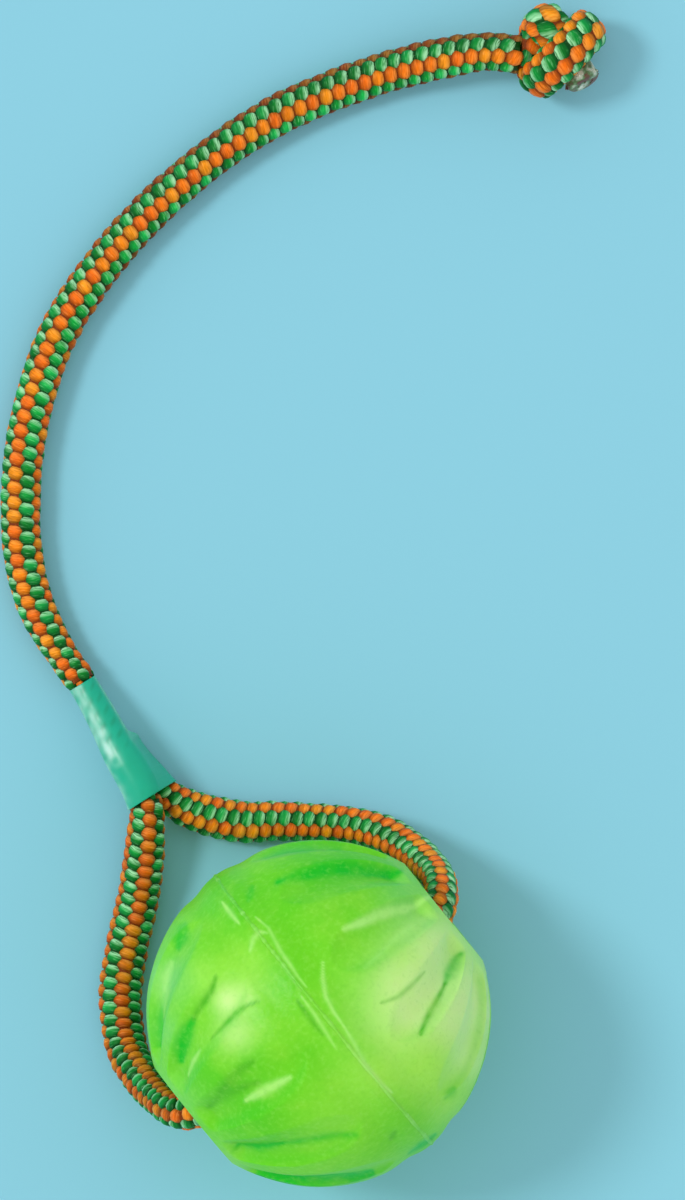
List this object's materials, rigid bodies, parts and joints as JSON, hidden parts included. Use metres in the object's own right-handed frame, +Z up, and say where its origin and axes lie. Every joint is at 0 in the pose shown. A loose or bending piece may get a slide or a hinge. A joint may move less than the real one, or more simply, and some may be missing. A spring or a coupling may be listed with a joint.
{
  "type": "ball on rope",
  "caption": "Hollow ribbed rubber dog ball bored through and threaded on a looped braided rope, with a shrunk splice sleeve and a stopper knot.",
  "frame": {"origin": "on the floor, under the centre of the ball", "axes": "+X along the ball's bore, towards the mouth that the rope's right leg leaves; +Y horizontal, towards the splice sleeve and the knot; +Z up"},
  "size_m": [0.2516, 0.2211, 0.0824],
  "materials": {
    "ball_rubber": "translucent satin",
    "rope_braid": "braided cord, green and orange",
    "sealed_end": "melted and frayed",
    "shrink_sleeve": "glossy",
    "splice_thread": "matte"
  },
  "bodies": {
    "rope": {"rope_return_end": "rope_braid", "rope_leg_right": "rope_braid", "rope_through_ball": "rope_braid", "rope_leg_left": "rope_braid", "rope_in_sleeve": "rope_braid", "rope_tail": "rope_braid", "tail_knot": "rope_braid", "sealed_end": "sealed_end", "shrink_sleeve": "shrink_sleeve", "splice_stitching": "splice_thread"},
    "ball": {"ball_half_left": "ball_rubber", "ball_half_right": "ball_rubber"}
  },
  "joints": [
    {"name": "ball_spin", "type": "hinge", "parent": "rope", "child": "ball", "pos_m": [0, 0, 0.0412], "axis": [1, 0, 0], "continuous": true}
  ]
}
